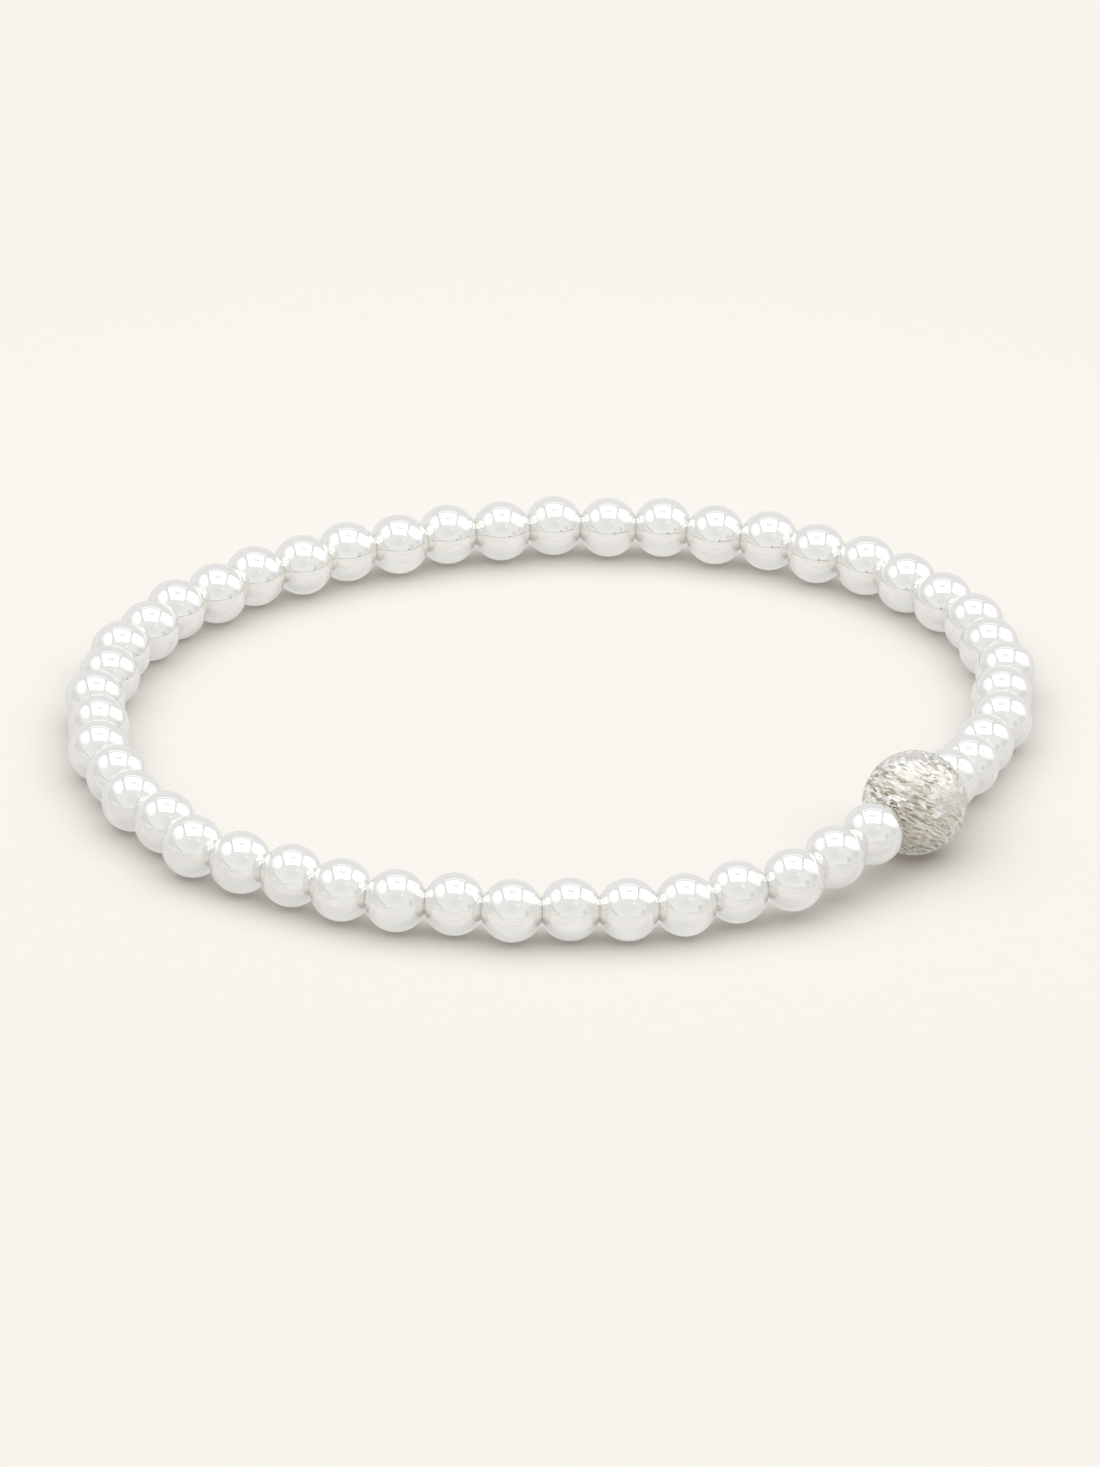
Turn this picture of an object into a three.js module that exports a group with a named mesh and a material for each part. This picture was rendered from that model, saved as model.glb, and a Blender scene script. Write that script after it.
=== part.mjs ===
// A beaded stretch bracelet lying on a table: small polished round beads and one larger, finely cut bead,
// threaded close together on one elastic loop.
//
// Millimetres, +Z up. The table is z = 0 and the origin lies under the middle of the loop. The thread is
// followed clockwise seen from above, starting at the larger bead.

import * as THREE from 'three';
import { mergeVertices } from 'three/addons/utils/BufferGeometryUtils.js';

// Small beads. Each is a sphere, drilled through, and it touches its neighbours at the rims of the holes.
const BEAD_COUNT = 48;
const BEAD_RADIUS = 2.05;
const BEAD_SPACING = 3.76;
const BEAD_BORE_RADIUS = 0.6;
const BEAD_SIDES = 16;
const BEAD_BANDS = 6;

// The small beads are joined along their thread, so many to a strand, with a gap between two strands.
const BEADS_PER_STRAND = 6;
const STRAND_GAP = 0.12;

// The larger bead. Its countersunk mouths take the sides of the small beads beside it.
const FOCAL_RADIUS = 3.45;
const FOCAL_SPACING = 5.1;
const FOCAL_BORE_RADIUS = 0.75;
const FOCAL_MOUTH_RADIUS = 1.1;
const FOCAL_MOUTH_DEPTH = 0.25;
const FOCAL_SIDES = 28;
const FOCAL_BANDS = 12;

// The elastic cord runs loosely through every hole, so it can stretch.
const CORD_RADIUS = 0.35;
const CORD_SIDES = 8;

// The loop as it lies: a circle with a few soft lobes. Each lobe adds its share of the mean radius in the
// directions where it peaks.
const FOCAL_DIRECTION = THREE.MathUtils.degToRad(-32.2);
const LOBES = [
  { order: 2, share: 0.0558, peak: 33.2 },
  { order: 3, share: 0.0202, peak: 47.3 },
  { order: 4, share: 0.0101, peak: 32.9 },
  { order: 5, share: 0.0076, peak: 15.6 },
];

// The larger bead's centre is higher than the rest of the thread, so it holds the beads beside it off the
// table: along this much of the thread after it and before it.
const LIFT_AFTER = 21.4;
const LIFT_BEFORE = 12.1;

// Where the thread is slack, beads lie in turn a little outside and a little inside the smooth loop.
const STAGGERED = [
  { first: 3, last: 4, outside: 'odd', amount: 0.35 },
  { first: 7, last: 10, outside: 'even', amount: 0.2 },
  { first: 12, last: 12, outside: 'odd', amount: 0.35 },
  { first: 14, last: 14, outside: 'even', amount: 0.5 },
  { first: 15, last: 38, outside: 'even', amount: 0.18 },
  { first: 41, last: 46, outside: 'odd', amount: 0.18 },
];

const THREAD_LENGTH = (BEAD_COUNT - 1) * BEAD_SPACING + 2 * FOCAL_SPACING;
const UP = new THREE.Vector3(0, 0, 1);

/** The lobed loop with a mean radius of one, flat, clockwise from the larger bead. */
class LoopOutline extends THREE.Curve {
  getPoint(t, target = new THREE.Vector3()) {
    const direction = FOCAL_DIRECTION - 2 * Math.PI * t;
    let radius = 1;
    for (const { order, share, peak } of LOBES) {
      radius += share * Math.cos(order * (direction - THREE.MathUtils.degToRad(peak)));
    }
    return target.set(radius * Math.cos(direction), radius * Math.sin(direction), 0);
  }
}

/** How far out of the smooth loop a small bead lies. */
function stagger(number) {
  const row = STAGGERED.find(({ first, last }) => number >= first && number <= last);
  if (!row) {
    return 0;
  }
  const parity = number % 2 === 0 ? 'even' : 'odd';
  return parity === row.outside ? row.amount : -row.amount;
}

/** The height of a bead's centre, this far along the thread. */
function centreHeight(distance) {
  const after = distance / LIFT_AFTER;
  const before = (THREAD_LENGTH - distance) / LIFT_BEFORE;
  const share = Math.min(after, before, 1);
  return BEAD_RADIUS + (FOCAL_RADIUS - BEAD_RADIUS) * 0.5 * (1 + Math.cos(Math.PI * share));
}

/** The centres of all the beads: number 0 is the larger one, and the small ones follow from 1. */
function beadCentres() {
  const outline = new LoopOutline();
  outline.arcLengthDivisions = 2000;
  const meanRadius = THREAD_LENGTH / outline.getLength();
  const centres = [];
  for (let number = 0; number <= BEAD_COUNT; number += 1) {
    const distance = number === 0 ? 0 : FOCAL_SPACING + (number - 1) * BEAD_SPACING;
    const share = distance / THREAD_LENGTH;
    const outward = UP.clone().cross(outline.getTangentAt(share));
    const centre = outline.getPointAt(share).multiplyScalar(meanRadius);
    centre.addScaledVector(outward, stagger(number));
    centre.z = centreHeight(distance);
    centres.push(centre);
  }
  return centres;
}

/** A frame at a point of the thread: Y runs along the thread, and Z is as upright as it can be. */
function threadFrame(origin, from, to) {
  const along = to.clone().sub(from).normalize();
  const side = along.clone().cross(UP).normalize();
  const upright = side.clone().cross(along);
  return new THREE.Matrix4().makeBasis(side, along, upright).setPosition(origin);
}

const centres = beadCentres();
const centreOf = (number) => centres[(number + centres.length) % centres.length];

/** The frame at a bead's centre. */
function beadFrame(number) {
  return threadFrame(centreOf(number), centreOf(number - 1), centreOf(number + 1));
}

/** The frame where a bead meets the next: halfway, or half a spacing from the small bead of the two. */
function neckFrame(number) {
  const here = centreOf(number);
  const next = centreOf(number + 1);
  const smallShare = BEAD_SPACING / 2 / FOCAL_SPACING;
  let share = 0.5;
  if (number === 0) {
    share = 1 - smallShare;
  } else if (number === BEAD_COUNT) {
    share = smallShare;
  }
  return threadFrame(here.clone().lerp(next, share), here, next);
}

/**
 * Turns a closed outline once round the thread. Each point of the outline has a radius, a distance along
 * the thread and the frame that both are measured in, so the turned body follows the thread.
 */
function turnRoundThread(outline, sides) {
  const closed = [...outline, outline[0]];
  const profile = closed.map(({ radius, along }) => new THREE.Vector2(radius, along));
  const turned = new THREE.LatheGeometry(profile, sides);
  turned.deleteAttribute('normal');
  turned.deleteAttribute('uv');
  const position = turned.getAttribute('position');
  const vertex = new THREE.Vector3();
  for (let index = 0; index < position.count; index += 1) {
    vertex.fromBufferAttribute(position, index).applyMatrix4(closed[index % closed.length].frame);
    position.setXYZ(index, vertex.x, vertex.y, vertex.z);
  }
  const geometry = mergeVertices(turned);
  geometry.computeVertexNormals();
  return geometry;
}

/** The rings of a sphere between two circles of the same radius about its axis, without those circles. */
function sphereRings(radius, rimRadius, bands, frame) {
  const rimAngle = Math.asin(rimRadius / radius);
  const rings = [];
  for (let band = 1; band < bands; band += 1) {
    const angle = THREE.MathUtils.lerp(rimAngle, Math.PI - rimAngle, band / bands);
    rings.push({ radius: radius * Math.sin(angle), along: -radius * Math.cos(angle), frame });
  }
  return rings;
}

/** A strand of small beads, joined at their necks, with one hole through all of them. */
function strandGeometry(first, last) {
  const neckRadius = Math.sqrt(BEAD_RADIUS ** 2 - (BEAD_SPACING / 2) ** 2);
  const endRadius = Math.sqrt(BEAD_RADIUS ** 2 - ((BEAD_SPACING - STRAND_GAP) / 2) ** 2);
  const start = { along: STRAND_GAP / 2, frame: neckFrame(first - 1) };
  const end = { along: -STRAND_GAP / 2, frame: neckFrame(last) };
  const outside = [{ radius: endRadius, ...start }];
  const hole = [{ radius: BEAD_BORE_RADIUS, ...start }];
  for (let number = first; number <= last; number += 1) {
    outside.push(...sphereRings(BEAD_RADIUS, neckRadius, BEAD_BANDS, beadFrame(number)));
    if (number < last) {
      outside.push({ radius: neckRadius, along: 0, frame: neckFrame(number) });
      hole.push({ radius: BEAD_BORE_RADIUS, along: 0, frame: neckFrame(number) });
    }
  }
  outside.push({ radius: endRadius, ...end });
  hole.push({ radius: BEAD_BORE_RADIUS, ...end });
  return turnRoundThread([...outside, ...hole.reverse()], BEAD_SIDES);
}

/**
 * The larger bead: a sphere with a straight hole, countersunk at both mouths. The mouths face the beads beside
 * it, so the hole passes a little to one side of the middle.
 */
function focalGeometry() {
  const frame = beadFrame(0);
  const frameBefore = threadFrame(centreOf(0), centreOf(-1), centreOf(0));
  const frameAfter = threadFrame(centreOf(0), centreOf(0), centreOf(1));
  const mouthAlong = Math.sqrt(FOCAL_RADIUS ** 2 - FOCAL_MOUTH_RADIUS ** 2);
  const boreAlong = mouthAlong - FOCAL_MOUTH_DEPTH;
  return turnRoundThread(
    [
      { radius: FOCAL_MOUTH_RADIUS, along: -mouthAlong, frame: frameBefore },
      ...sphereRings(FOCAL_RADIUS, FOCAL_MOUTH_RADIUS, FOCAL_BANDS, frame),
      { radius: FOCAL_MOUTH_RADIUS, along: mouthAlong, frame: frameAfter },
      { radius: FOCAL_BORE_RADIUS, along: boreAlong, frame: frameAfter },
      { radius: FOCAL_BORE_RADIUS, along: -boreAlong, frame: frameBefore },
    ],
    FOCAL_SIDES,
  );
}

/** The elastic cord: a closed loop through the middle of every neck, straight through each bead. */
function cordGeometry() {
  const rings = [];
  for (let number = 0; number <= BEAD_COUNT; number += 1) {
    rings.push({ radius: CORD_RADIUS, along: 0, frame: neckFrame(number) });
  }
  return turnRoundThread(rings, CORD_SIDES);
}

function namedMesh(name, geometry, look) {
  const mesh = new THREE.Mesh(geometry, new THREE.MeshStandardMaterial(look));
  mesh.name = name;
  return mesh;
}

const POLISHED_SILVER = { color: 0xdedfe0, roughness: 0.08, metalness: 1 };
const CUT_SILVER = { color: 0xc8c5b8, roughness: 0.45, metalness: 1 };
const CLEAR_ELASTIC = { color: 0xe8e8e4, roughness: 0.3, metalness: 0 };

const loop = new THREE.Group();
for (let first = 1; first <= BEAD_COUNT; first += BEADS_PER_STRAND) {
  const strand = Math.ceil(first / BEADS_PER_STRAND);
  const geometry = strandGeometry(first, first + BEADS_PER_STRAND - 1);
  loop.add(namedMesh(`bead_strand_${strand}`, geometry, POLISHED_SILVER));
}
loop.add(namedMesh('focal_bead', focalGeometry(), CUT_SILVER));
loop.add(namedMesh('elastic_cord', cordGeometry(), CLEAR_ELASTIC));

// The origin goes under the middle of the loop's box.
const middle = new THREE.Box3().setFromObject(loop).getCenter(new THREE.Vector3());
loop.position.set(-middle.x, -middle.y, 0);

const bracelet = new THREE.Group();
bracelet.add(loop);

export default bracelet;
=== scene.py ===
import math

import bpy
import numpy as np
from mathutils import Matrix, Vector, kdtree


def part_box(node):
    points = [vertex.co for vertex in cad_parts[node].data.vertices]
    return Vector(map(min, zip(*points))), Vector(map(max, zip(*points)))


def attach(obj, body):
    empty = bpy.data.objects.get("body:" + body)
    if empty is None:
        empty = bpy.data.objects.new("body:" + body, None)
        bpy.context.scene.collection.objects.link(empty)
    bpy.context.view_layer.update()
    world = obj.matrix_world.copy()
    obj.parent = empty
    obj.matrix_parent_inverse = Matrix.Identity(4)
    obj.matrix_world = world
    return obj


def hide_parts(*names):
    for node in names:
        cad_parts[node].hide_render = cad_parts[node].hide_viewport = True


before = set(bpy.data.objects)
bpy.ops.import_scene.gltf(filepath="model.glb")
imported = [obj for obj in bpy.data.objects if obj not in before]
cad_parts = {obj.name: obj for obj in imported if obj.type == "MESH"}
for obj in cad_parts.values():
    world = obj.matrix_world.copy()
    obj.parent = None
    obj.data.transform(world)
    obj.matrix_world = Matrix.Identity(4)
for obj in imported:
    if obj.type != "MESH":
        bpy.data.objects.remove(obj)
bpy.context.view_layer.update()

# A beaded stretch bracelet lying on a table. The beads are placed by the same few dimensions as the CAD part:
# millimetres here, metres in the meshes. The thread is followed clockwise seen from above, from the cut bead.
MM = 0.001
UP = np.array((0.0, 0.0, 1.0))

# Small beads. The gap is between the rims of two beads' holes, and each rim is a small rounded lip.
BEAD_COUNT = 48
BEAD_RADIUS = 2.05
BEAD_SPACING = 3.76
BEADS_PER_STRAND = 6
BEAD_BORE_RADIUS = 0.6
BEAD_GAP = 0.006
BEAD_LIP_RADIUS = 0.008
BEAD_LIP_STEPS = 4
BEAD_SIDES = 80
BEAD_BANDS = 40
# How far inside a bead's end each ring of its hole's eased edge is, and how much wider than the hole.
BEAD_BORE_EDGE = ((0.004, 0.01), (0.02, 0.0))
# How far apart two beads' parts of the silver's clouds and marks are.
BEAD_PATTERN_STEP = np.array((7.3, 0.0, 3.1))

# The larger bead, with countersunk mouths. Its sides and bands are fine enough to carry the cuts.
FOCAL_RADIUS = 3.45
FOCAL_SPACING = 5.1
FOCAL_BORE_RADIUS = 0.75
FOCAL_MOUTH_RADIUS = 1.1
FOCAL_MOUTH_DEPTH = 0.25
FOCAL_RIM = 0.05
FOCAL_EASE = 0.02
FOCAL_SIDES = 424
FOCAL_BANDS = 196

CORD_RADIUS = 0.35
CORD_SIDES = 16
CORD_STEPS_PER_BEAD = 8

# The loop as it lies: a circle with a few soft lobes. Each lobe has an order, its share of the mean radius,
# and a direction where it peaks.
FOCAL_DIRECTION = math.radians(-32.2)
LOBES = ((2, 0.0558, 33.2), (3, 0.0202, 47.3), (4, 0.0101, 32.9), (5, 0.0076, 15.6))
LIFT_AFTER = 21.4
LIFT_BEFORE = 12.1
# First bead, last bead, the remainder by two of the ones that lie outside, and how far.
STAGGERED = (
    (3, 4, 1, 0.35),
    (7, 10, 0, 0.2),
    (12, 12, 1, 0.35),
    (14, 14, 0, 0.5),
    (15, 38, 0, 0.18),
    (41, 46, 1, 0.18),
)
THREAD_LENGTH = (BEAD_COUNT - 1) * BEAD_SPACING + 2 * FOCAL_SPACING
# The outline is measured in so many steps, and its direction between points this far on both sides.
OUTLINE_STEPS = 2000
OUTLINE_REACH = 1e-4

# The cutter's strokes on the larger bead: rows about an axis, and the least and the most of each measure.
CUT_AXIS = np.array((-0.12, -0.52, 0.83))
CUT_AXIS = CUT_AXIS / np.linalg.norm(CUT_AXIS)
CUT_ROW_SPACING = 0.15
CUT_SPACING = 0.5
CUT_LENGTHS = (0.5, 0.9)
CUT_WIDTHS = (0.15, 0.22)
CUT_DEPTHS = (0.014, 0.026)
CUT_REACH = 0.08
CUT_SEED = 21
# How much strokes stray: along their row, off their row, in direction, and in tilt across and along.
CUT_STRAY_ALONG = 0.3
CUT_STRAY_ACROSS = 0.32
CUT_STRAY_TURN = math.radians(7)
CUT_LEAN = 0.08
CUT_PITCH = 0.05
# The bead's cuts are shallower towards its top, and its outside is rubbed: that is wear. Its facets are also
# painted darker towards its underside: painted shade, for the shadowed table it mirrors and the shade in its
# cuts. Each of these carries one measure to another: height to wear and shade, direction to rubbing, and wear
# and shade to how much of the cut is left, how much facets differ from one another and how bright they are.
CUT_WEAR_AND_SHADE = ((-0.3, 1.0), (0.0, 1.0))
CUT_RUBBED = ((0.6, 1.0), (0.0, 0.5))
CUT_LEFT = ((0.6, 1.0), (1.0, 0.35))
# Facets differ in tilt and in painted shade, and are painted darker low on the bead: painted shade.
CUT_KEENNESS_AND_SHADE = ((0.0, 0.3, 0.6, 0.8, 1.0), (0.7, 0.95, 1.15, 0.75, 0.3))
CUT_BRIGHTNESS = ((0.0, 0.3, 0.6, 0.8, 1.0), (0.33, 0.35, 0.37, 0.44, 0.51))
# Rubbing flattens the cuts and evens the facets, brightens them and leaves fewer glints.
RUB_FLATTENS = 0.8
RUB_BRIGHTENS = 0.1
RUB_HIDES = 2
CUT_FADE_BANDS = 2.0
# Facets to a millimetre across the cutter's path, facets to a radian along it, and their height in metres.
FACETS_ACROSS = 8.0
FACETS_AROUND = 6.0
FACET_HEIGHT = 0.0009
# The few larger facets that catch a light: the same two counts, their share by height, and how steep.
# They also get the brightest colour, a painted highlight on top of their real tilt.
GLINTS_ACROSS = 4.0
GLINTS_AROUND = 6.0
GLINT_SHARE = ((-0.3, 0.2, 1.0), (0.0, 0.1, 0.2))
GLINT_TILT = 0.2
# The colour of the cut silver, from dark and warm, which is painted shade in the cuts, to bright.
CUT_COLOURS = (
    (0.0, (0.30, 0.27, 0.20)),
    (0.3, (0.56, 0.525, 0.45)),
    (0.58, (0.82, 0.80, 0.755)),
    (0.8, (0.97, 0.965, 0.945)),
)

# The camera: a long lens, looking down at the loop from the front.
CAMERA_ELEVATION = math.radians(26.6)
CAMERA_ROLL = math.radians(1.53)
CAMERA_DISTANCE = 700.0
CAMERA_LENS = 258.2
CAMERA_TARGET = (-0.074, -3.287, 2.0)

# The light tent. Its height is in metres, and its panels and cards are in shares of that height.
TENT_HEIGHT = 0.45
TENT_WALL = 0.7
TENT_ROOF = 1.0
ROOF_LIGHT = 1.405
SIDE_LIGHT = 0.35
WHITE = (1.45, 1.45, 1.44)
BACK_WHITE = (1.12, 1.12, 1.12)
SEAM = (0.70, 0.71, 0.69)
SEAM_HEIGHT = 0.97
# How much of what the silver mirrors also lights the table.
FILL = 0.25

# The surroundings: their colour in front and behind, how bright they are straight to the side and at the
# horizon, and their colour for what lights the table.
WORLD_FRONT = (0.915, 0.91, 0.892)
WORLD_BACK = (0.86, 0.865, 0.868)
WORLD_ASIDE = 0.84
WORLD_HORIZON = 1.03
WORLD_FILL = (0.15, 0.18, 0.205)
# Where a direction starts and ends to count as behind, as straight to the side, and as above the horizon.
BEHIND = (-0.4, 0.6)
ASIDE = (0.85, 1.0)
ABOVE = (0.0, 0.3)

# The table as it is lit, as the eye sees it far from the bracelet (metres), and its painted glow in the
# silver.
TABLE_HALF = 3.0
TABLE_COLOUR = (0.890, 0.826, 0.764)
TABLE_SEEN = (0.947, 0.905, 0.855)
TABLE_SEEN_FROM = (0.045, 0.08)
TABLE_REFLECTED = (0.922, 0.915, 0.893)
# The silver mirrors the table partly as it is lit and partly as an even glow, a painted light that fills in
# the table's shade. The glow's share is least in the middle of these three: close under a bead, a little way
# off,
# and far away. Two factors lower it: where a bead all but touches the table, and in what one bead mirrors of
# another. Ranges are lengths of the mirrored ray, in metres.
EVEN_CLOSE = 0.78
EVEN_NEAR = 0.68
EVEN_FAR = 1.0
EVEN_TOUCHING = 0.6
EVEN_DEEPER = 0.5
TOUCHING_RANGE = (0.0003, 0.0006)
CLOSE_RANGE = (0.0009, 0.0018)
FAR_RANGE = (0.01, 0.04)
# The mirrored glow is cloudy, and painted dimmer under the loop's left and right sides: painted shade.
CLOUDS = (0.88, 1.08)
FLANK = 0.88
FLANK_STARTS = (0.014, 0.03)
FLANK_ENDS = (0.036, 0.08)
# Nearer than this (metres), the glow is dimmed less straight to the side.
ASIDE_FROM = 0.2


# ---------------------------------------------------------------- the thread


def outline_at(t):
    """The lobed loop with a mean radius of one: where it is after that share of a turn."""
    direction = FOCAL_DIRECTION - 2 * math.pi * t
    radius = 1.0
    for order, share, peak in LOBES:
        radius = radius + share * np.cos(order * (direction - math.radians(peak)))
    return np.stack((radius * np.cos(direction), radius * np.sin(direction)), axis=-1)


def stagger(number):
    """How far out of the smooth loop a small bead lies."""
    for first, last, parity, amount in STAGGERED:
        if first <= number <= last:
            return amount if number % 2 == parity else -amount
    return 0.0


def centre_height(distance):
    """The height of a bead's centre, this far along the thread."""
    share = min(distance / LIFT_AFTER, (THREAD_LENGTH - distance) / LIFT_BEFORE, 1.0)
    return BEAD_RADIUS + (FOCAL_RADIUS - BEAD_RADIUS) * 0.5 * (1 + math.cos(math.pi * share))


def bead_centres():
    """The centres of all the beads, with the cut bead as number 0, in the frame's millimetres."""
    turns = np.linspace(0.0, 1.0, OUTLINE_STEPS + 1)
    points = outline_at(turns)
    lengths = np.concatenate(((0.0,), np.cumsum(np.linalg.norm(np.diff(points, axis=0), axis=1))))
    mean_radius = THREAD_LENGTH / lengths[-1]
    centres = []
    for number in range(BEAD_COUNT + 1):
        distance = 0.0 if number == 0 else FOCAL_SPACING + (number - 1) * BEAD_SPACING
        turn = np.interp(distance / THREAD_LENGTH * lengths[-1], lengths, turns)
        ahead = outline_at(turn + OUTLINE_REACH) - outline_at(turn - OUTLINE_REACH)
        ahead = ahead / np.linalg.norm(ahead)
        outward = np.array((-ahead[1], ahead[0]))
        place = outline_at(turn) * mean_radius + outward * stagger(number)
        centres.append((place[0], place[1], centre_height(distance)))
    centres = np.array(centres)
    low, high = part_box("focal_bead")
    middle = np.array((low + high) / 2) / MM
    centres[:, :2] += middle[:2] - centres[0, :2]
    return centres


CENTRES = bead_centres()


def centre_of(number):
    """A bead's centre, counting round the loop."""
    return CENTRES[number % len(CENTRES)]


def thread_frame(start, end):
    """Rows: sideways, along the thread, and as upright as can be."""
    along = (end - start) / np.linalg.norm(end - start)
    side = np.cross(along, UP)
    side = side / np.linalg.norm(side)
    return np.array((side, along, np.cross(side, along)))


def turned_frame(along):
    """The frame about a direction: sideways, along it, and as upright as can be."""
    return thread_frame(np.zeros(3), along)


def bead_frame(number):
    """The frame at a bead's centre, from the beads on both sides of it."""
    return thread_frame(centre_of(number - 1), centre_of(number + 1))


# ---------------------------------------------------------------- meshes


def make_object(name, vertices, faces, material):
    """A smooth-shaded mesh object from millimetre vertices."""
    mesh = bpy.data.meshes.new(name)
    mesh.from_pydata((np.asarray(vertices) * MM).tolist(), [], faces)
    mesh.polygons.foreach_set("use_smooth", (True,) * len(mesh.polygons))
    mesh.materials.append(material)
    mesh.update()
    piece = bpy.data.objects.new(name, mesh)
    bpy.context.scene.collection.objects.link(piece)
    return piece


def vector_attribute(piece, name, values):
    """A vector at each vertex, for the materials to read."""
    layer = piece.data.attributes.new(name, "FLOAT_VECTOR", "POINT")
    layer.data.foreach_set("vector", np.asarray(values, dtype=np.float32).ravel())


def value_attribute(piece, name, values):
    """A number at each vertex, for the materials to read."""
    layer = piece.data.attributes.new(name, "FLOAT", "POINT")
    layer.data.foreach_set("value", np.asarray(values, dtype=np.float32).ravel())


def torus_faces(rows, sides):
    """The quads of a grid of vertices that closes both ways, facing outwards."""
    faces = []
    for row in range(rows):
        here = row * sides
        after = (row + 1) % rows * sides
        for side in range(sides):
            beside = (side + 1) % sides
            faces.append((here + side, here + beside, after + beside, after + side))
    return faces


def arc(centre, radius, start, end, steps):
    """Points on a circle in the (radius, along) plane, with both ends."""
    angles = np.linspace(start, end, steps + 1)
    return [(centre[0] + radius * math.cos(a), centre[1] + radius * math.sin(a)) for a in angles]


def ring(rows, radius, along, sides):
    """Points on a circle about a frame's own thread direction."""
    angles = np.arange(sides)[:, None] * (2 * math.pi / sides)
    return along * rows[1] + radius * (np.cos(angles) * rows[0] + np.sin(angles) * rows[2])


def drilled_ball(number, radius, end_angles, bands, mouths, sides):
    """
    The rings of a ball from its middle: outside, far mouth, hole and near mouth. The ends of the ball face
    the beads beside it, and its middle follows the thread. The two mouths, near and far, are lists of
    (radius, along) from the outside in, with along measured towards the neighbour. The two angles are where
    the outside ends, from that direction.
    """
    here = centre_of(number)
    before = thread_frame(centre_of(number - 1), here)
    middle = bead_frame(number)
    after = thread_frame(here, centre_of(number + 1))
    rings = []
    for share in np.linspace(-1.0, 1.0, bands + 1):
        end = after if share > 0 else before
        lean = abs(share) ** 3
        along = middle[1] * (1 - lean) + end[1] * lean
        rows = turned_frame(along / np.linalg.norm(along))
        angle = np.interp(share, (-1.0, 1.0), (math.pi - end_angles[0], end_angles[1]))
        rings.append(ring(rows, radius * math.sin(angle), radius * math.cos(angle), sides))
    near = [ring(before, r, -along, sides) for r, along in mouths[0]]
    far = [ring(after, r, along, sides) for r, along in mouths[1]]
    hole = [far[-1] * (1 - share) + near[-1] * share for share in (0.25, 0.5, 0.75)]
    return np.concatenate(rings + far + hole + near[::-1])


# ---------------------------------------------------------------- the small beads and the cord


def bead_ends(number):
    """How far the ends of a small bead are from its middle: half a spacing where the larger bead is next."""
    ends = []
    for neighbour in (number - 1, number + 1):
        spacing = np.linalg.norm(centre_of(neighbour) - centre_of(number))
        if neighbour % len(CENTRES) == 0:
            spacing = BEAD_SPACING
        ends.append(spacing / 2 - BEAD_GAP / 2)
    return ends


def bead_mouth(end):
    """Where the ball's outside stops for a lip, as an angle, and the lip with the hole's eased edge."""
    lip = BEAD_LIP_RADIUS
    # The lip's circle touches the ball from inside, and its furthest point is the bead's end.
    lip_radius = math.sqrt((BEAD_RADIUS - lip) ** 2 - (end - lip) ** 2)
    touch = math.atan2(lip_radius, end - lip)
    rounded = arc((lip_radius, end - lip), lip, math.pi / 2 - touch, math.pi / 2, BEAD_LIP_STEPS)[1:]
    edge = [(BEAD_BORE_RADIUS + wider, end - inside) for inside, wider in BEAD_BORE_EDGE]
    return touch, rounded + edge


def make_bead(number, material):
    """One small bead, in its place on the thread: a drilled ball with a small rounded lip at each end."""
    touches, mouths = zip(*(bead_mouth(end) for end in bead_ends(number)))
    own = drilled_ball(number, BEAD_RADIUS, touches, BEAD_BANDS, mouths, BEAD_SIDES)
    faces = torus_faces(len(own) // BEAD_SIDES, BEAD_SIDES)
    piece = make_object(f"bead_{number:02d}", own + CENTRES[number], faces, material)
    vector_attribute(piece, "bead_space", own @ bead_frame(number).T + number * BEAD_PATTERN_STEP)
    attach(piece, "root")
    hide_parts(f"bead_strand_{(number - 1) // BEADS_PER_STRAND + 1}")


def neck_point(number):
    """Where a bead meets the next: halfway, or half a spacing from the small bead of the two."""
    small_share = BEAD_SPACING / 2 / FOCAL_SPACING
    share = {0: 1 - small_share, BEAD_COUNT: small_share}.get(number, 0.5)
    return centre_of(number) * (1 - share) + centre_of(number + 1) * share


def smooth_through(corners, steps):
    """A closed curve through the corners, with that many points from each to the next."""
    count = len(corners)
    points = []
    for number in range(count):
        p0, p1, p2, p3 = (corners[(number + offset) % count] for offset in (-1, 0, 1, 2))
        for step in range(steps):
            t = step / steps
            bend = (2 * p0 - 5 * p1 + 4 * p2 - p3) * t**2 + (3 * p1 - p0 - 3 * p2 + p3) * t**3
            points.append(0.5 * (2 * p1 + (p2 - p0) * t + bend))
    return np.array(points)


def make_elastic(material):
    """The elastic loop, smooth through the middle of every neck."""
    necks = [neck_point(number) for number in range(len(CENTRES))]
    points = smooth_through(necks, CORD_STEPS_PER_BEAD)
    vertices = []
    local = []
    for index, point in enumerate(points):
        rows = thread_frame(points[index - 1], points[(index + 1) % len(points)])
        for angle in np.arange(CORD_SIDES) * (2 * math.pi / CORD_SIDES):
            vertices.append(point + CORD_RADIUS * (math.cos(angle) * rows[0] + math.sin(angle) * rows[2]))
            local.append((math.cos(angle), index * BEAD_SPACING / CORD_STEPS_PER_BEAD, math.sin(angle)))
    piece = make_object("elastic_loop", vertices, torus_faces(len(points), CORD_SIDES), material)
    vector_attribute(piece, "cord_space", local)
    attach(piece, "root")
    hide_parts("elastic_cord")


# ---------------------------------------------------------------- the cut bead


def cut_frame():
    """Rows: two directions square to the cut axis, and the axis."""
    across = np.cross(CUT_AXIS, (1.0, 0.0, 0.0))
    across = across / np.linalg.norm(across)
    return np.array((across, np.cross(CUT_AXIS, across), CUT_AXIS))


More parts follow.
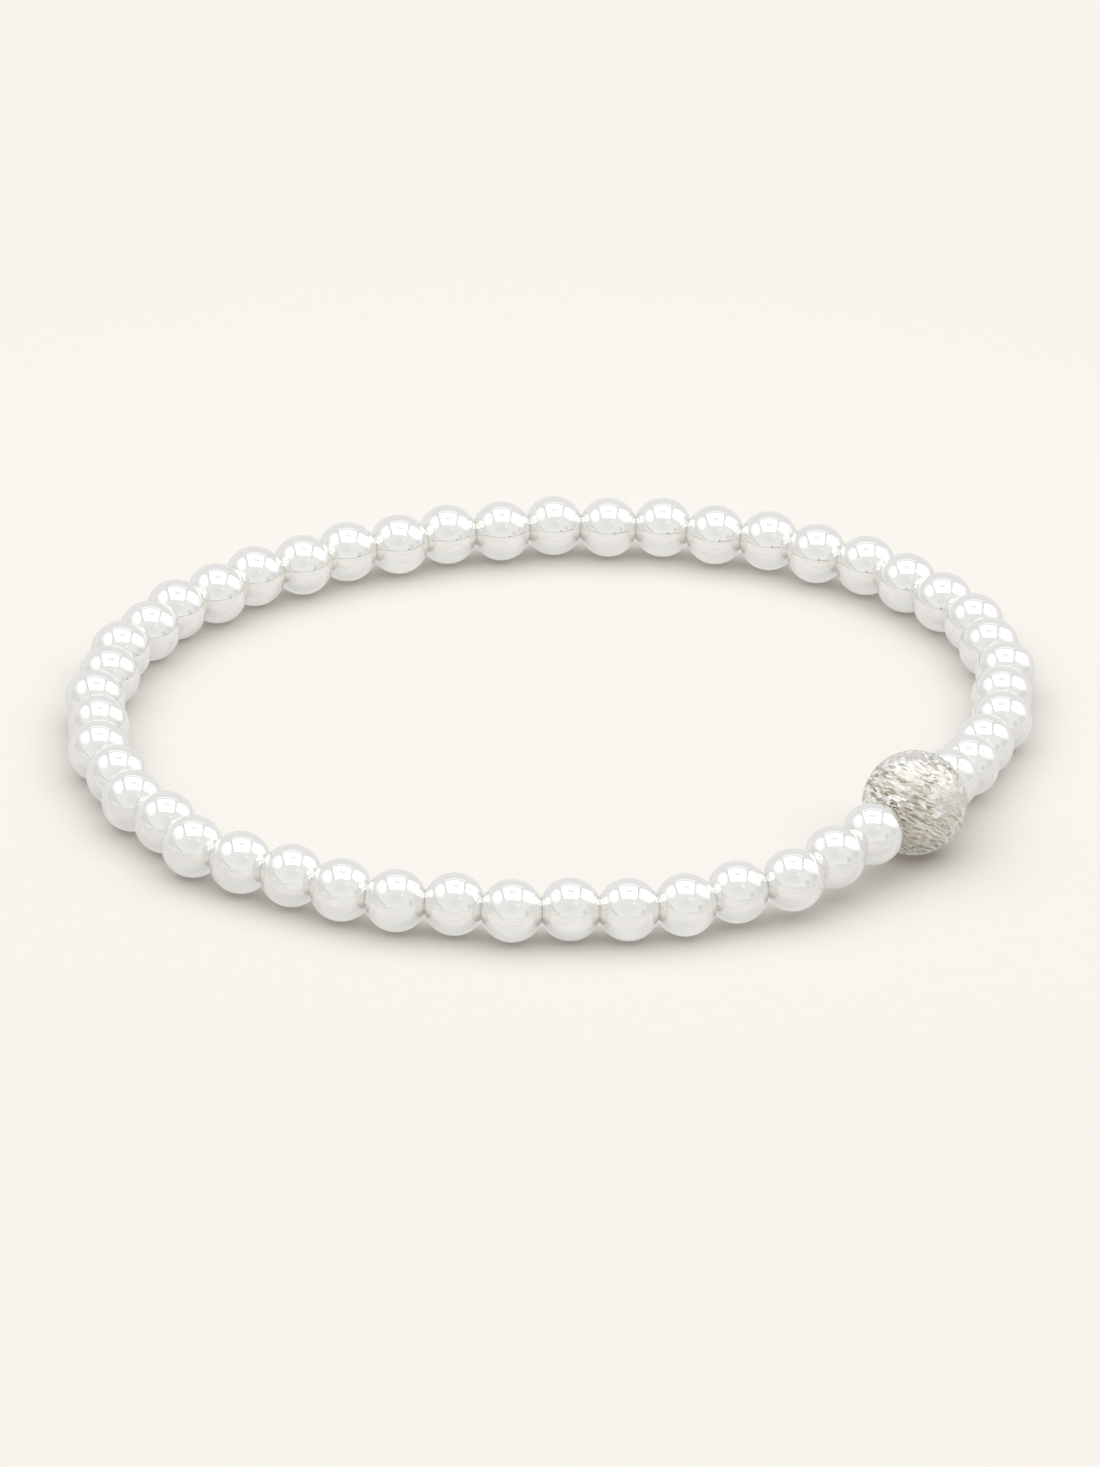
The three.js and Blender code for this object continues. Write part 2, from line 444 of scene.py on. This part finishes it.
def focal_ball():
    """The larger ball: the outside, eased rims, countersunk mouths and a hole."""
    rim_along = math.sqrt(FOCAL_RADIUS**2 - FOCAL_MOUTH_RADIUS**2)
    touch = math.atan2(FOCAL_MOUTH_RADIUS + FOCAL_RIM, rim_along)
    foot_along = rim_along - FOCAL_MOUTH_DEPTH
    mouth = [
        (FOCAL_MOUTH_RADIUS, rim_along - FOCAL_EASE),
        (FOCAL_MOUTH_RADIUS - 1.5 * FOCAL_EASE, rim_along - 3 * FOCAL_EASE),
        (FOCAL_BORE_RADIUS + FOCAL_EASE, foot_along + FOCAL_EASE),
        (FOCAL_BORE_RADIUS, foot_along - FOCAL_EASE),
    ]
    return drilled_ball(0, FOCAL_RADIUS, (touch, touch), FOCAL_BANDS, (mouth, mouth), FOCAL_SIDES)


def draw_stroke(draw, level, turn, place):
    """A stroke of the cutter, from its row's level and its place in the row, in the cut's own frame."""
    azimuth = turn + 2 * math.pi * (place[0] + draw.uniform(-CUT_STRAY_ALONG, CUT_STRAY_ALONG)) / place[1]
    colatitude = level + draw.normal(0, CUT_STRAY_ACROSS) * CUT_ROW_SPACING / FOCAL_RADIUS
    radial = np.array(
        (
            math.sin(colatitude) * math.cos(azimuth),
            math.sin(colatitude) * math.sin(azimuth),
            math.cos(colatitude),
        )
    )
    straight = np.array((-math.sin(azimuth), math.cos(azimuth), 0.0))
    swing = draw.normal(0, CUT_STRAY_TURN)
    square = np.cross(radial, straight)
    return {
        "radial": radial,
        "forward": straight * math.cos(swing) + square * math.sin(swing),
        "sideways": square * math.cos(swing) - straight * math.sin(swing),
        "length": draw.uniform(*CUT_LENGTHS),
        "width": draw.uniform(*CUT_WIDTHS),
        "depth": draw.uniform(*CUT_DEPTHS),
        "lean": draw.normal(0, CUT_LEAN),
        "pitch": draw.normal(0, CUT_PITCH),
        "shade": draw.uniform(0, 1),
    }


def all_strokes():
    """Every stroke of the cutter, row by row."""
    draw = np.random.default_rng(CUT_SEED)
    row_count = int(math.pi * FOCAL_RADIUS / CUT_ROW_SPACING)
    for row in range(row_count):
        level = math.pi * (row + 0.5) / row_count
        around = 2 * math.pi * FOCAL_RADIUS * math.sin(level)
        count = max(3, round(around / CUT_SPACING))
        turn = draw.uniform(0, 2 * math.pi)
        for number in range(count):
            yield draw_stroke(draw, level, turn, (number, count))


def cut_ball(own, outside):
    """Sinks the strokes of the cutter into the ball, and says for each vertex how light its stroke is."""
    rows = cut_frame() @ bead_frame(0)
    tree = kdtree.KDTree(int(outside.sum()))
    for number in np.flatnonzero(outside):
        tree.insert(own[number], int(number))
    tree.balance()
    height = np.zeros(len(own))
    light = np.full(len(own), 0.5)
    for stroke in all_strokes():
        radial, forward, sideways = (stroke[name] @ rows for name in ("radial", "forward", "sideways"))
        length, width = stroke["length"], stroke["width"]
        near = tree.find_range(radial * FOCAL_RADIUS, length * 0.5 + CUT_REACH)
        if not near:
            continue
        indices = np.array([index for _, index, _ in near])
        offset = own[indices] - radial * FOCAL_RADIUS
        u = offset @ forward
        v = offset @ sideways
        scoop = -stroke["depth"] * (1 - (2 * u / length) ** 2 - (2 * v / width) ** 2)
        cut = scoop + stroke["lean"] * v + stroke["pitch"] * u
        deeper = cut < height[indices]
        height[indices[deeper]] = cut[deeper]
        light[indices[deeper]] = stroke["shade"]
    return height, light


def cut_space(direction):
    """Where the cutter passes: how far from the cut axis, in millimetres, and the direction about it."""
    turned = direction @ (cut_frame() @ bead_frame(0)).T
    level = np.arccos(np.clip(turned[:, 2], -1, 1)) * FOCAL_RADIUS
    flat = turned[:, :2] / np.maximum(np.linalg.norm(turned[:, :2], axis=1), 1e-6)[:, None]
    return np.column_stack((level, flat))


def make_focal(material):
    """The larger bead, cut all over with short strokes."""
    own = focal_ball()
    outside = np.arange(len(own)) < (FOCAL_BANDS + 1) * FOCAL_SIDES
    height, light = cut_ball(own, outside)
    direction = own / np.linalg.norm(own, axis=1)[:, None]
    outward = direction[:, :2] @ (CENTRES[0, :2] / np.linalg.norm(CENTRES[0, :2]))
    rubbed = np.interp(outward, *CUT_RUBBED)
    wear_and_shade = np.interp(direction[:, 2], *CUT_WEAR_AND_SHADE) + rubbed
    height = height * np.interp(wear_and_shade, *CUT_LEFT) * (1 - RUB_FLATTENS * rubbed)
    # The cuts fade out over the last bands at the mouths.
    band = np.arange(len(own)) // FOCAL_SIDES
    fade = np.clip(np.minimum(band, FOCAL_BANDS - band) / CUT_FADE_BANDS, 0.0, 1.0) * outside
    cut = own + direction * (height * fade)[:, None]
    faces = torus_faces(len(own) // FOCAL_SIDES, FOCAL_SIDES)
    piece = make_object("cut_focal_bead", cut + CENTRES[0], faces, material)
    vector_attribute(piece, "cut_space", cut_space(direction))
    value_attribute(piece, "stroke", light)
    # Painted shade: these set how much the facets' colours differ, and darken them low on the bead.
    value_attribute(piece, "keen_and_shade", np.interp(wear_and_shade, *CUT_KEENNESS_AND_SHADE) * (1 - RUB_FLATTENS * rubbed))
    value_attribute(piece, "bright", np.interp(wear_and_shade, *CUT_BRIGHTNESS) + RUB_BRIGHTENS * rubbed)
    value_attribute(piece, "catch", np.interp(direction[:, 2], *GLINT_SHARE) * (1 - RUB_HIDES * rubbed))
    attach(piece, "root")
    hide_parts("focal_bead")


# ---------------------------------------------------------------- materials


class Tree:
    """A node tree to build in. A value is a number, a tuple or another node's output."""

    def __init__(self, node_tree):
        self.nodes = node_tree.nodes
        self.links = node_tree.links

    def feed(self, socket, value):
        """Sets a socket to a number or tuple, or links an output to it."""
        if isinstance(value, (int, float, tuple)):
            socket.default_value = value
        else:
            self.links.new(value, socket)

    def node(self, kind, **inputs):
        """A new node, with some of its inputs fed by name."""
        node = self.nodes.new("ShaderNode" + kind)
        for name, value in inputs.items():
            self.feed(node.inputs[name], value)
        return node

    def attribute(self, name, output="Fac"):
        node = self.node("Attribute")
        node.attribute_name = name
        return node.outputs[output]

    def parts(self, vector):
        """A vector's X, Y and Z."""
        return self.node("SeparateXYZ", Vector=vector).outputs

    def mapped(self, source, scale, place=(0, 0, 0)):
        node = self.node("Mapping", Location=place, Scale=scale, Vector=source)
        return node.outputs["Vector"]

    def noise(self, vector, scale, detail=2.0, roughness=0.5):
        node = self.node("TexNoise", Scale=scale, Detail=detail, Roughness=roughness, Vector=vector)
        return node.outputs["Fac"]

    def ranged(self, value, start, end):
        """The value carried from one range to another, and held at its ends."""
        node = self.node("MapRange", Value=value)
        for name, number in zip(("From Min", "From Max", "To Min", "To Max"), (*start, *end)):
            node.inputs[name].default_value = number
        return node.outputs["Result"]

    def maths(self, operation, first, second):
        node = self.node("Math")
        node.operation = operation
        self.feed(node.inputs[0], first)
        self.feed(node.inputs[1], second)
        return node.outputs["Value"]

    def product(self, *values):
        """The values multiplied together."""
        result = values[0]
        for value in values[1:]:
            result = self.maths("MULTIPLY", result, value)
        return result

    def vector_maths(self, operation, first, second=(0.0, 0.0, 0.0)):
        node = self.node("VectorMath")
        node.operation = operation
        self.feed(node.inputs[0], first)
        self.feed(node.inputs[1], second)
        return node.outputs["Value" if operation in ("DOT_PRODUCT", "LENGTH") else "Vector"]

    def ramp(self, value, stops):
        node = self.node("ValToRGB", Fac=value)
        elements = node.color_ramp.elements
        while len(elements) < len(stops):
            elements.new(0.5)
        for element, (position, colour) in zip(elements, stops):
            element.position = position
            element.color = (*colour, 1.0)
        return node.outputs["Color"]

    def bump(self, height, strength, distance, before=None):
        node = self.node("Bump", Height=height, Strength=strength, Distance=distance)
        if before is not None:
            self.feed(node.inputs["Normal"], before)
        return node.outputs["Normal"]

    def emission(self, colour, strength=1.0):
        return self.node("Emission", Color=(*colour, 1.0), Strength=strength).outputs["Emission"]

    def background(self, colour, strength=1.0):
        """A world's light, in one colour or from an output."""
        colour = (*colour, 1.0) if isinstance(colour, tuple) else colour
        return self.node("Background", Color=colour, Strength=strength).outputs["Background"]

    def mixed(self, share, first, second):
        """Two shaders mixed: the first at a share of zero, the second at one."""
        node = self.node("MixShader")
        for index, value in enumerate((share, first, second)):
            self.feed(node.inputs[index], value)
        return node.outputs["Shader"]


def new_material(name):
    """A node material, the tree to build in and its Principled shader."""
    material = bpy.data.materials.new(name)
    material.use_nodes = True
    tree = Tree(material.node_tree)
    return material, tree, tree.nodes["Principled BSDF"]


def polished_silver():
    """Tumbled and buffed silver: a near mirror, faintly uneven, with fine buffing marks and hairlines."""
    material, tree, shader = new_material("polished_silver")
    own = tree.attribute("bead_space", "Vector")
    shader.inputs["Metallic"].default_value = 1.0
    cloud = tree.noise(own, 0.9, 3.0)
    colour = tree.ramp(cloud, ((0.3, (0.872, 0.868, 0.848)), (0.7, (0.898, 0.894, 0.874))))
    buffing = tree.noise(tree.mapped(own, (1.5, 22.0, 1.5)), 1.0, 3.0)
    hairline = tree.noise(tree.mapped(own, (30.0, 2.0, 9.0), (3, 5, 7)), 1.0, 2.0, 0.6)
    marks = tree.maths("ADD", buffing, hairline)
    swell = tree.bump(tree.noise(own, 0.8, 1.0), 1.0, 0.000004)
    tree.feed(shader.inputs["Base Color"], colour)
    tree.feed(shader.inputs["Roughness"], tree.ranged(marks, (0.75, 1.25), (0.025, 0.075)))
    tree.feed(shader.inputs["Normal"], tree.bump(marks, 0.6, 0.0000006, swell))
    return material


def facet_cells(tree, space, across, around):
    """Cells stretched along the cutter's path: a colour drawn for each, and the way from its middle."""
    path = tree.mapped(space, (across, around, around))
    cells = tree.node("TexVoronoi", Scale=1.0, Randomness=0.8, Vector=path)
    away = tree.vector_maths("SUBTRACT", path, cells.outputs["Position"])
    return cells.outputs["Color"], away


def glints(tree, space):
    """The few cells that catch a light, as ones among zeros, and how they tilt."""
    drawn, away = facet_cells(tree, space, GLINTS_ACROSS, GLINTS_AROUND)
    chances = tree.node("SeparateColor", Color=drawn).outputs
    share = tree.attribute("catch")
    glint = tree.maths("GREATER_THAN", tree.maths("ADD", chances["Red"], share), 1.0)
    steep = tree.product(tree.parts(away)["X"], GLINT_TILT, chances["Green"], glint)
    return glint, steep


def cut_silver():
    """Diamond-cut silver: short facets along the cutter's path, each tilted its own way, some in painted
    shade.
    """
    material, tree, shader = new_material("cut_silver")
    space = tree.attribute("cut_space", "Vector")
    keen_and_shade = tree.attribute("keen_and_shade")
    shader.inputs["Metallic"].default_value = 1.0
    drawn, away = facet_cells(tree, space, FACETS_ACROSS, FACETS_AROUND)
    glint, steep = glints(tree, space)
    chance = tree.node("SeparateColor", Color=drawn).outputs["Red"]
    # The spread of the facets' colours is painted shade: the darker facets stand for the shade in the cuts.
    lightness = tree.maths("ADD", chance, tree.product(tree.attribute("stroke"), 0.6))
    spread = tree.product(tree.ranged(lightness, (0.0, 1.6), (-0.5, 0.5)), keen_and_shade)
    # A glint raises its cell's colour to the brightest: a painted highlight.
    shade = tree.maths("ADD", tree.maths("ADD", spread, tree.attribute("bright")), glint)
    # Red sets a facet's colour and its lean: facets leaning up, to the cut axis, are painted lighter, others
    # darker.
    # Cubed, so that most facets lean a little and a few lean a lot.
    centred = tree.vector_maths("SUBTRACT", drawn, (0.5, 0.5, 0.5))
    squared = tree.vector_maths("MULTIPLY", centred, centred)
    cubed = tree.vector_maths("MULTIPLY", squared, centred)
    tilt = tree.vector_maths("DOT_PRODUCT", away, cubed)
    height = tree.maths("ADD", tree.product(tilt, keen_and_shade), steep)
    facets = tree.bump(height, 1.0, FACET_HEIGHT)
    drag = tree.noise(tree.mapped(space, (26.0, 4.0, 4.0)), 1.0, 3.0, 0.6)
    tree.feed(shader.inputs["Base Color"], tree.ramp(shade, CUT_COLOURS))
    tree.feed(shader.inputs["Roughness"], tree.ranged(drag, (0.3, 0.7), (0.06, 0.2)))
    tree.feed(shader.inputs["Normal"], tree.bump(drag, 0.5, 0.000006, facets))
    return material


def clear_elastic():
    """Milky stretch cord, faintly fibrous along its length."""
    material, tree, shader = new_material("clear_elastic")
    fibre = tree.noise(tree.mapped(tree.attribute("cord_space", "Vector"), (6.0, 0.4, 6.0)), 1.0, 3.0)
    colour = tree.ramp(fibre, ((0.3, (0.74, 0.74, 0.72)), (0.7, (0.86, 0.86, 0.84))))
    tree.feed(shader.inputs["Base Color"], colour)
    tree.feed(shader.inputs["Roughness"], tree.ranged(fibre, (0.3, 0.7), (0.28, 0.42)))
    tree.feed(shader.inputs["Normal"], tree.bump(fibre, 0.5, 0.00001))
    return material


# ---------------------------------------------------------------- the table


def dim_aside(tree, aside):
    """What the silver mirrors is dimmer straight to the side, where the tent is darker."""
    return tree.ranged(aside, ASIDE, (1.0, WORLD_ASIDE))


def mirrored_strength(tree, place, distance):
    """How strongly each place of the table's painted glow shows in the silver."""
    aside = tree.maths("ABSOLUTE", tree.parts(place)["X"], 0.0)
    far = tree.maths("MAXIMUM", distance, ASIDE_FROM)
    sideways = dim_aside(tree, tree.maths("DIVIDE", aside, far))
    cloud = tree.noise(tree.mapped(place, (150.0, 420.0, 1.0)), 1.0, 3.0)
    uneven = tree.ranged(cloud, (0.3, 0.7), CLOUDS)
    # Painted shade in the glow under the loop's left and right sides.
    flank = tree.ranged(aside, FLANK_STARTS, (1.0, FLANK))
    beyond = tree.ranged(aside, FLANK_ENDS, (FLANK, 1.0))
    return tree.product(sideways, tree.product(uneven, tree.maths("MAXIMUM", flank, beyond)))


def even_share(tree, path):
    """How much of the table's painted glow, instead of the lit table, a ray that comes off the silver sees.
    """
    length = path["Ray Length"]
    far = tree.ranged(length, FAR_RANGE, (EVEN_NEAR, EVEN_FAR))
    close = tree.ranged(length, CLOSE_RANGE, (EVEN_CLOSE, EVEN_NEAR))
    touching = tree.ranged(length, TOUCHING_RANGE, (EVEN_TOUCHING, 1.0))
    deeper = tree.ranged(path["Glossy Depth"], (1.0, 2.0), (1.0, EVEN_DEEPER))
    share = tree.product(path["Is Glossy Ray"], tree.maths("MAXIMUM", far, close))
    return tree.product(share, tree.product(touching, deeper))


def paper():
    """The table top: plain pale paper with a barely visible tooth. The silver sees it partly as a painted
    glow.
    """
    material, tree, shader = new_material("pale_paper")
    place = tree.node("TexCoord").outputs["Object"]
    distance = tree.vector_maths("LENGTH", place)
    path = tree.node("LightPath").outputs
    tooth = tree.noise(place, 900.0, 3.0)
    low = tuple(0.995 * value for value in TABLE_COLOUR)
    high = tuple(1.005 * value for value in TABLE_COLOUR)
    tree.feed(shader.inputs["Base Color"], tree.ramp(tooth, ((0.3, low), (0.7, high))))
    shader.inputs["Roughness"].default_value = 1.0
    shader.inputs["Specular IOR Level"].default_value = 0.0
    # The even table is a painted glow, seen only by rays that come off the silver.
    even = tree.emission(TABLE_REFLECTED, mirrored_strength(tree, place, distance))
    mirrored = tree.mixed(even_share(tree, path), shader.outputs["BSDF"], even)
    # Away from the bracelet the eye sees one plain shade.
    away = tree.ranged(distance, TABLE_SEEN_FROM, (0.0, 1.0))
    plain = tree.product(path["Is Camera Ray"], away)
    surface = tree.mixed(plain, mirrored, tree.emission(TABLE_SEEN))
    tree.feed(tree.nodes["Material Output"].inputs["Surface"], surface)
    material.cycles.emission_sampling = "NONE"
    return material


def make_floor():
    """A wide, plain table top."""
    mesh = bpy.data.meshes.new("table_top")
    half = TABLE_HALF
    corners = [(-half, -half, 0.0), (half, -half, 0.0), (half, half, 0.0), (-half, half, 0.0)]
    mesh.from_pydata(corners, [], [(0, 1, 2, 3)])
    mesh.materials.append(paper())
    floor = bpy.data.objects.new("table_top", mesh)
    bpy.context.scene.collection.objects.link(floor)


# ---------------------------------------------------------------- the light


def facing(direction, up):
    """The rotation of a light that shines along a direction."""
    back = -Vector(direction).normalized()
    right = Vector(up).cross(back).normalized()
    return Matrix((right, back.cross(right), back)).transposed().to_4x4()


def panel(name, centre, direction, size, radiance, up=(0, 0, 1)):
    """A soft light panel, in tent heights. It lights the table, and the cards are its look in the silver."""
    light = bpy.data.lights.new(name, "AREA")
    light.shape = "RECTANGLE"
    light.size, light.size_y = (side * TENT_HEIGHT for side in size)
    light.energy = radiance * math.pi * light.size * light.size_y
    lamp = bpy.data.objects.new(name, light)
    lamp.matrix_world = Matrix.Translation(Vector(centre) * TENT_HEIGHT) @ facing(direction, up)
    lamp.visible_camera = False
    lamp.visible_glossy = False
    bpy.context.scene.collection.objects.link(lamp)


def make_light():
    """Soft light from the roof and the sides of the tent."""
    wall = TENT_WALL
    panel("roof_light", (0.0, 0.1, TENT_ROOF), (0, 0, -1), (2.3, 2.1), ROOF_LIGHT, up=(0, 1, 0))
    panel("right_light", (wall, 0.25, 0.5), (-1, 0, 0), (0.85, 0.9), SIDE_LIGHT)
    panel("left_light", (-wall, 0.1, 0.6), (1, 0, 0), (1.1, 0.7), SIDE_LIGHT)
    panel("back_light", (0.0, wall, 0.8), (0, -1, 0), (1.3, 0.35), SIDE_LIGHT)
    # Light has to find its way between mirrors and under the beads.
    paths = bpy.context.scene.cycles
    paths.max_bounces, paths.diffuse_bounces, paths.glossy_bounces = 24, 12, 16


def card_material(name, colour):
    """A shine that fades to nothing by the glow attribute: full in the silver, and less on the table."""
    material = bpy.data.materials.new(name)
    material.use_nodes = True
    tree = Tree(material.node_tree)
    tree.nodes.clear()
    depth = tree.node("LightPath").outputs["Diffuse Depth"]
    shine = tree.emission(colour, tree.ranged(depth, (0.0, 1.0), (1.0, FILL)))
    clear = tree.node("BsdfTransparent").outputs["BSDF"]
    tree.node("OutputMaterial", Surface=tree.mixed(tree.attribute("glow"), clear, shine))
    material.cycles.emission_sampling = "NONE"
    return material


def card(name, points, colour, border):
    """A flat convex card that only reflections see, in tent heights. It fades out over its border."""
    inner = np.array(points, dtype=float)
    middle = inner.mean(axis=0)
    reach = np.linalg.norm(inner - middle, axis=1)[:, None]
    outer = middle + (inner - middle) * (1 + border / reach)
    count = len(inner)
    faces = [tuple(range(count))]
    for corner in range(count):
        after = (corner + 1) % count
        faces.append((corner, corner + count, after + count, after))
    mesh = bpy.data.meshes.new(name)
    mesh.from_pydata((np.concatenate((inner, outer)) * TENT_HEIGHT).tolist(), [], faces)
    mesh.materials.append(card_material(name, colour))
    board = bpy.data.objects.new(name, mesh)
    value_attribute(board, "glow", [1.0] * count + [0.0] * count)
    board.visible_camera = False
    board.visible_shadow = False
    board.visible_diffuse = False
    bpy.context.scene.collection.objects.link(board)


def oval(centre, across, along, points=24):
    """The corners of an oval about a centre, with its two half axes."""
    angles = np.linspace(0, 2 * math.pi, points, endpoint=False)
    centre, across, along = (np.array(v, dtype=float) for v in (centre, across, along))
    return [centre + math.cos(a) * across + math.sin(a) * along for a in angles]


def strip(name, start, end, half_width, colour, border):
    """A straight band between two points, turned towards the bracelet."""
    start, end = np.array(start, dtype=float), np.array(end, dtype=float)
    wide = np.cross(end - start, (start + end) / 2)
    wide = wide / np.linalg.norm(wide) * half_width
    card(name, [start - wide, start + wide, end + wide, end - wide], colour, border)


def seam(name, start, end, half_width, end_height=SEAM_HEIGHT):
    """A seam of the tent between two places, just under its roof."""
    strip(name, (*start, SEAM_HEIGHT), (*end, end_height), half_width, SEAM, 0.02)


def blot(name, direction, distance, half_width, half_height, colour, border):
    """An upright oval in a direction from the bracelet, turned towards it."""
    centre = Vector(direction).normalized() * distance
    across = Vector((0, 0, 1)).cross(centre).normalized()
    above = centre.cross(across).normalized()
    card(name, oval(centre, across * half_width, above * half_height), colour, border)


def make_cards():
    """What the silver mirrors: the inside of a light tent, open towards the camera, with its seams."""
    wall = TENT_WALL
    above = [(-0.44, -0.48), (0.55, -0.48), (0.46, 0.58), (-0.54, 0.58)]
    card("roof_card", [(x, y, TENT_ROOF) for x, y in above], WHITE, 0.02)
    right = [(-0.12, 0.97), (0.62, 0.97), (0.52, 0.34), (0.22, 0.24), (0.06, 0.42), (-0.06, 0.66)]
    card("right_card", [(wall, y, z) for y, z in right], WHITE, 0.24)
    card("left_card", oval((-wall, 0.05, 0.75), (0, 0.24, 0), (0, 0, 0.16)), WHITE, 0.32)
    back = [(-0.44, 0.75), (0.44, 0.75), (0.46, 0.93), (-0.46, 0.93)]
    card("back_card", [(x, wall, z) for x, z in back], BACK_WHITE, 0.09)
    seam("seam_left", (-0.47, -0.52), (-0.58, 0.62), 0.022)
    seam("seam_right", (0.59, -0.52), (0.49, 0.62), 0.012)
    seam("seam_front", (-0.44, -0.49), (0.55, -0.49), 0.012)
    seam("seam_back", (0.2, 0.64), (0.7, 0.64), 0.02)
    seam("seam_corner", (0.69, 0.70), (0.69, 0.70), 0.02, end_height=0.3)
    card("roof_fitting", oval((0.02, 0.06, 0.95), (0.11, -0.01, 0), (0, 0.05, 0)), SEAM, 0.07)
    card("roof_lamp", oval((0.02, 0.06, 0.94), (0.04, 0, 0), (0, 0.015, 0)), WHITE, 0.03)
    blot("warm_lamp", (0.33, -0.64, 0.69), 1.2, 0.04, 0.04, (1.1, 1.04, 0.95), 0.12)
    blot("camera_and_person", (0.03, -0.83, 0.555), 1.3, 0.25, 0.12, (0.86, 0.855, 0.835), 0.5)
    blot("stand", (0.804, -0.584, 0.115), 1.15, 0.04, 0.09, (0.72, 0.72, 0.70), 0.2)
    strip("fold", (-1.2, -0.45, 0.3), (-0.9, -0.95, 0.1), 0.05, (0.74, 0.74, 0.72), 0.3)


def make_world():
    """Pale surroundings; where the camera sees past the table, the table's own shade."""
    world = bpy.data.worlds.new("studio")
    bpy.context.scene.world = world
    world.use_nodes = True
    tree = Tree(world.node_tree)
    tree.nodes.clear()
    direction = tree.parts(tree.node("TexCoord").outputs["Generated"])
    behind = tree.ranged(direction["Y"], BEHIND, (0.0, 1.0))
    shade = tree.ramp(behind, ((0.0, WORLD_FRONT), (1.0, WORLD_BACK)))
    level = tree.ranged(direction["Z"], ABOVE, (WORLD_HORIZON, 1.0))
    aside = tree.maths("ABSOLUTE", direction["X"], 0.0)
    around = tree.background(shade, tree.product(level, dim_aside(tree, aside)))
    path = tree.node("LightPath").outputs
    on_table = tree.maths("MINIMUM", path["Diffuse Depth"], 1.0)
    lit = tree.mixed(on_table, around, tree.background(WORLD_FILL))
    surface = tree.mixed(path["Is Camera Ray"], lit, tree.background(TABLE_SEEN))
    tree.node("OutputWorld", Surface=surface)
    world.cycles.sampling_method = "NONE"


# ---------------------------------------------------------------- the camera, and all of it


def make_camera():
    """The camera, with a plain rendering of its colours."""
    elevation, roll = CAMERA_ELEVATION, CAMERA_ROLL
    level = Vector((1, 0, 0))
    upright = Vector((0, math.sin(elevation), math.cos(elevation)))
    back = Vector((0, -math.cos(elevation), math.sin(elevation)))
    right = level * math.cos(roll) + upright * math.sin(roll)
    up = upright * math.cos(roll) - level * math.sin(roll)
    data = bpy.data.cameras.new("camera")
    data.lens = CAMERA_LENS
    data.sensor_width = 36.0
    data.clip_start, data.clip_end = 0.05, 20.0
    camera = bpy.data.objects.new("camera", data)
    place = (Vector(CAMERA_TARGET) + back * CAMERA_DISTANCE) * MM
    camera.matrix_world = Matrix.Translation(place) @ Matrix((right, up, back)).transposed().to_4x4()
    bpy.context.scene.collection.objects.link(camera)
    bpy.context.scene.camera = camera
    bpy.context.scene.view_settings.view_transform = "Standard"


def make_bracelet():
    """All the pieces of the object."""
    silver = polished_silver()
    for number in range(1, BEAD_COUNT + 1):
        make_bead(number, silver)
    make_focal(cut_silver())
    make_elastic(clear_elastic())


make_camera()
make_bracelet()
make_floor()
make_light()
make_cards()
make_world()
